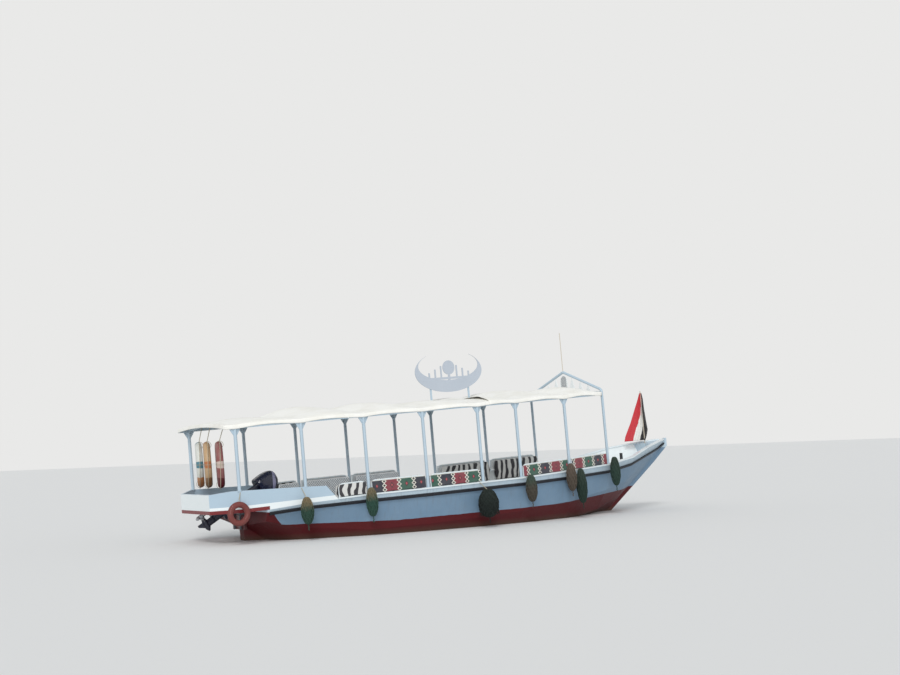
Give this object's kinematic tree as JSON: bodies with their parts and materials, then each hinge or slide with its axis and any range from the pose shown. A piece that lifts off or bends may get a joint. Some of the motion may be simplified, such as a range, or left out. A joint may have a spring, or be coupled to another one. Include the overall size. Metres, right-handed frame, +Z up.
{
  "type": "river passenger motor launch with canopy",
  "caption": "Long open river launch with a cloth canopy on posts, side benches, an overhanging stern and a tilting outboard motor hung in a well.",
  "frame": {"origin": "on the centreline amidships, at the water surface the boat floats in", "axes": "+X to the bow, +Y to port, +Z up; the keel line is trimmed bow up by 3.5 degrees"},
  "size_m": [10.3099, 3.597, 4.1354],
  "materials": {
    "hull_paint": "painted",
    "bottom_paint": "painted",
    "deck_paint": "painted",
    "topside_paint": "painted",
    "strake_black": "matt",
    "frame_paint": "gloss",
    "canopy_cloth": "matt",
    "cushion_cloth": "striped",
    "panel_cloth": "printed",
    "sign_paint": "gloss",
    "bollard_paint": "painted",
    "flag_cloth": "printed",
    "ring_white": "satin",
    "ring_orange": "weathered",
    "ring_red": "weathered",
    "cord": "laid rope",
    "ring_fender": "weathered",
    "fender_green": "weathered",
    "bracket_metal": "cast",
    "leg_paint": "gloss",
    "cowl_paint": "gloss",
    "tiller_grip": "ribbed",
    "prop_metal": "cast"
  },
  "bodies": {
    "hull": {"hull_shell": "hull_paint", "keel_and_stem": "bottom_paint", "counter": "bottom_paint", "sole": "deck_paint", "foredeck": "deck_paint", "stern_sheets": "deck_paint", "benches": "deck_paint", "transom_board": "deck_paint", "stern_bulwark": "topside_paint", "side_bulwarks": "topside_paint", "gunwale_caps": "topside_paint", "rubbing_strakes": "strake_black", "canopy_rails": "frame_paint", "posts": "frame_paint", "cross_bows": "frame_paint", "front_hoop": "frame_paint", "gable_ornament": "frame_paint", "aerial": "frame_paint", "side_rails": "frame_paint", "flagstaff": "frame_paint", "sign_uprights": "frame_paint", "canopy": "canopy_cloth", "seat_cushions": "cushion_cloth", "back_cushions": "cushion_cloth", "side_cloths": "panel_cloth", "roof_sign": "sign_paint", "bollard": "bollard_paint", "flag": "flag_cloth", "lifebuoy_port": "ring_white", "lifebuoy_middle": "ring_orange", "lifebuoy_starboard": "ring_red", "lifebuoy_lanyards": "cord", "fender_lanyards": "cord", "quarter_fender": "ring_fender", "fenders_starboard": "fender_green", "fenders_port": "fender_green", "clamp_bracket": "bracket_metal"},
    "swivel": {"swivel_bracket": "bracket_metal"},
    "motor": {"motor_leg": "leg_paint", "motor_cowl": "cowl_paint", "tiller": "tiller_grip"},
    "propeller": {"propeller": "prop_metal"}
  },
  "joints": [
    {"name": "motor_tilt", "type": "hinge", "parent": "hull", "child": "swivel", "pos_m": [-4.42577, 0, 0.45065], "axis": [0, 1, 0], "range_deg": [-62, 0]},
    {"name": "motor_steer", "type": "hinge", "parent": "swivel", "child": "motor", "pos_m": [-4.4545, 0, 0.49755], "axis": [0.8526, 0, 0.5225], "range_deg": [-30, 30]},
    {"name": "propeller_spin", "type": "hinge", "parent": "motor", "child": "propeller", "pos_m": [-5.04715, 0, 0.41585], "axis": [0.5225, 0, -0.8526], "continuous": true}
  ]
}
